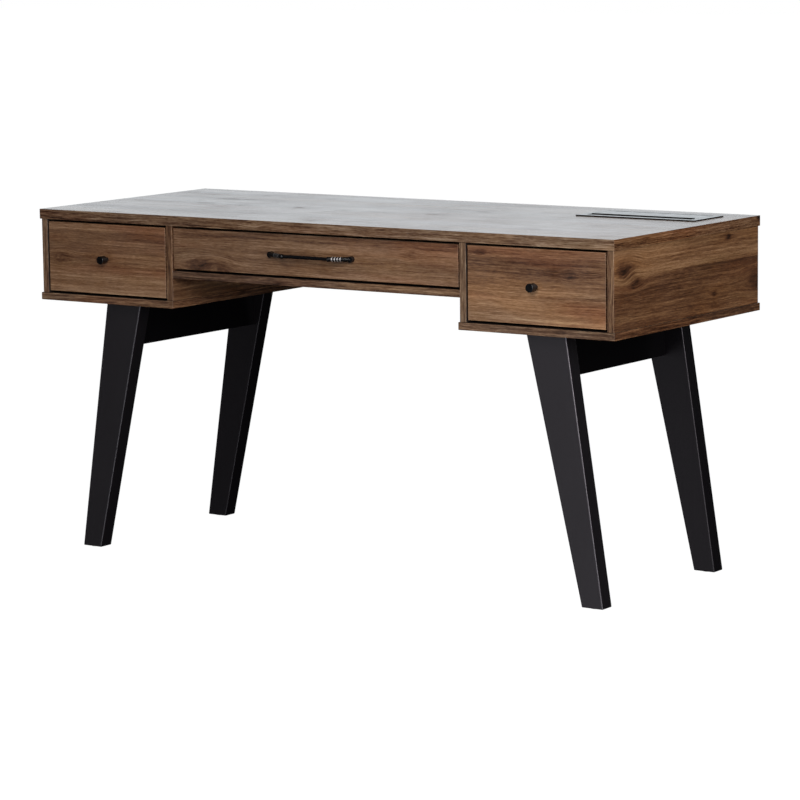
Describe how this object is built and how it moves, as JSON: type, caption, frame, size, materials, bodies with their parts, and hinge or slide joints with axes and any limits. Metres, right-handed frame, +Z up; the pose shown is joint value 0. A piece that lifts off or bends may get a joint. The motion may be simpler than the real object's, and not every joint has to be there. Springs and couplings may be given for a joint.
{
  "type": "pedestal desk",
  "caption": "Straight walnut-look writing desk on splayed black legs, with side and centre drawers and a flap-covered power box in the top.",
  "frame": {"origin": "on the floor, in the middle of the desk's overall width and depth, the pull included", "axes": "+X right for a person sitting at the desk, +Y from the drawer fronts towards the back, +Z up"},
  "size_m": [1.484, 0.6194, 0.7624],
  "materials": {
    "walnut_top": "walnut-look laminate, satin",
    "walnut_front": "walnut-look laminate, satin",
    "walnut_panel": "walnut-look laminate, satin",
    "drawer_board": "dark laminated board, matt",
    "drawer_bottom": "thin dark fibreboard, matt",
    "black_wood": "black satin paint on solid wood",
    "black_metal": "black powder coat, satin",
    "runner_steel": "zinc-plated",
    "zinc_steel": "zinc-plated",
    "cam_zinc": "die-cast, matt",
    "beech_dowel": "unfinished beech",
    "glide_plastic": "moulded, worn underneath",
    "black_box": "black, satin",
    "black_plastic": "moulded, matt",
    "socket_plastic": "moulded, satin"
  },
  "bodies": {
    "desk": {"apron_screws": "zinc_steel", "cabinet_runners": "runner_steel", "cable_grommet": "black_plastic", "cam_locks": "cam_zinc", "cam_pins": "zinc_steel", "carcass_dowels": "beech_dowel", "centre_back_panel": "walnut_panel", "centre_bottom_board": "walnut_panel", "flap_hinge_pin": "zinc_steel", "foot_glides": "glide_plastic", "front_left_leg": "black_wood", "front_right_leg": "black_wood", "housing_clamps": "zinc_steel", "left_apron": "black_wood", "left_back_panel": "walnut_panel", "left_bottom_board": "walnut_panel", "left_inner_panel": "walnut_panel", "left_side_panel": "walnut_panel", "leg_bolts": "zinc_steel", "leg_dowels": "beech_dowel", "power_box_base": "black_plastic", "power_box_housing": "black_box", "power_cord_gland": "black_plastic", "rear_left_leg": "black_wood", "rear_right_leg": "black_wood", "right_apron": "black_wood", "right_back_panel": "walnut_panel", "right_bottom_board": "walnut_panel", "right_inner_panel": "walnut_panel", "right_side_panel": "walnut_panel", "socket_module": "socket_plastic", "top_panel": "walnut_top"},
    "left_drawer": {"left_drawer_back": "drawer_board", "left_drawer_bottom": "drawer_bottom", "left_drawer_front": "walnut_front", "left_drawer_left_side": "drawer_board", "left_drawer_right_side": "drawer_board", "left_drawer_runners": "runner_steel", "left_knob": "black_metal", "left_knob_screw": "zinc_steel"},
    "left_runners": {"left_middle_runners": "runner_steel"},
    "centre_drawer": {"centre_drawer_back": "drawer_board", "centre_drawer_bottom": "drawer_bottom", "centre_drawer_front": "walnut_front", "centre_drawer_left_side": "drawer_board", "centre_drawer_right_side": "drawer_board", "centre_drawer_runners": "runner_steel", "centre_pull": "black_metal", "pull_screws": "zinc_steel"},
    "centre_runners": {"centre_middle_runners": "runner_steel"},
    "right_drawer": {"right_drawer_back": "drawer_board", "right_drawer_bottom": "drawer_bottom", "right_drawer_front": "walnut_front", "right_drawer_left_side": "drawer_board", "right_drawer_right_side": "drawer_board", "right_drawer_runners": "runner_steel", "right_knob": "black_metal", "right_knob_screw": "zinc_steel"},
    "right_runners": {"right_middle_runners": "runner_steel"},
    "flap": {"power_box_flap": "black_box"}
  },
  "joints": [
    {"name": "left_drawer_slide", "type": "slide", "parent": "desk", "child": "left_drawer", "axis": [0, -1, 0], "range_m": [0, 0.35]},
    {"name": "left_runner_slide", "type": "slide", "parent": "desk", "child": "left_runners", "axis": [0, -1, 0], "range_m": [0, 0.175]},
    {"name": "centre_drawer_slide", "type": "slide", "parent": "desk", "child": "centre_drawer", "axis": [0, -1, 0], "range_m": [0, 0.35]},
    {"name": "centre_runner_slide", "type": "slide", "parent": "desk", "child": "centre_runners", "axis": [0, -1, 0], "range_m": [0, 0.175]},
    {"name": "right_drawer_slide", "type": "slide", "parent": "desk", "child": "right_drawer", "axis": [0, -1, 0], "range_m": [0, 0.35]},
    {"name": "right_runner_slide", "type": "slide", "parent": "desk", "child": "right_runners", "axis": [0, -1, 0], "range_m": [0, 0.175]},
    {"name": "flap_hinge", "type": "hinge", "parent": "desk", "child": "flap", "pos_m": [0.546, 0.22725, 0.7584], "axis": [-1, 0, 0], "range_deg": [0, 100]}
  ],
  "couplings": [
    {"joint": "left_runner_slide", "follows": "left_drawer_slide", "ratio": 0.5},
    {"joint": "centre_runner_slide", "follows": "centre_drawer_slide", "ratio": 0.5},
    {"joint": "right_runner_slide", "follows": "right_drawer_slide", "ratio": 0.5}
  ]
}
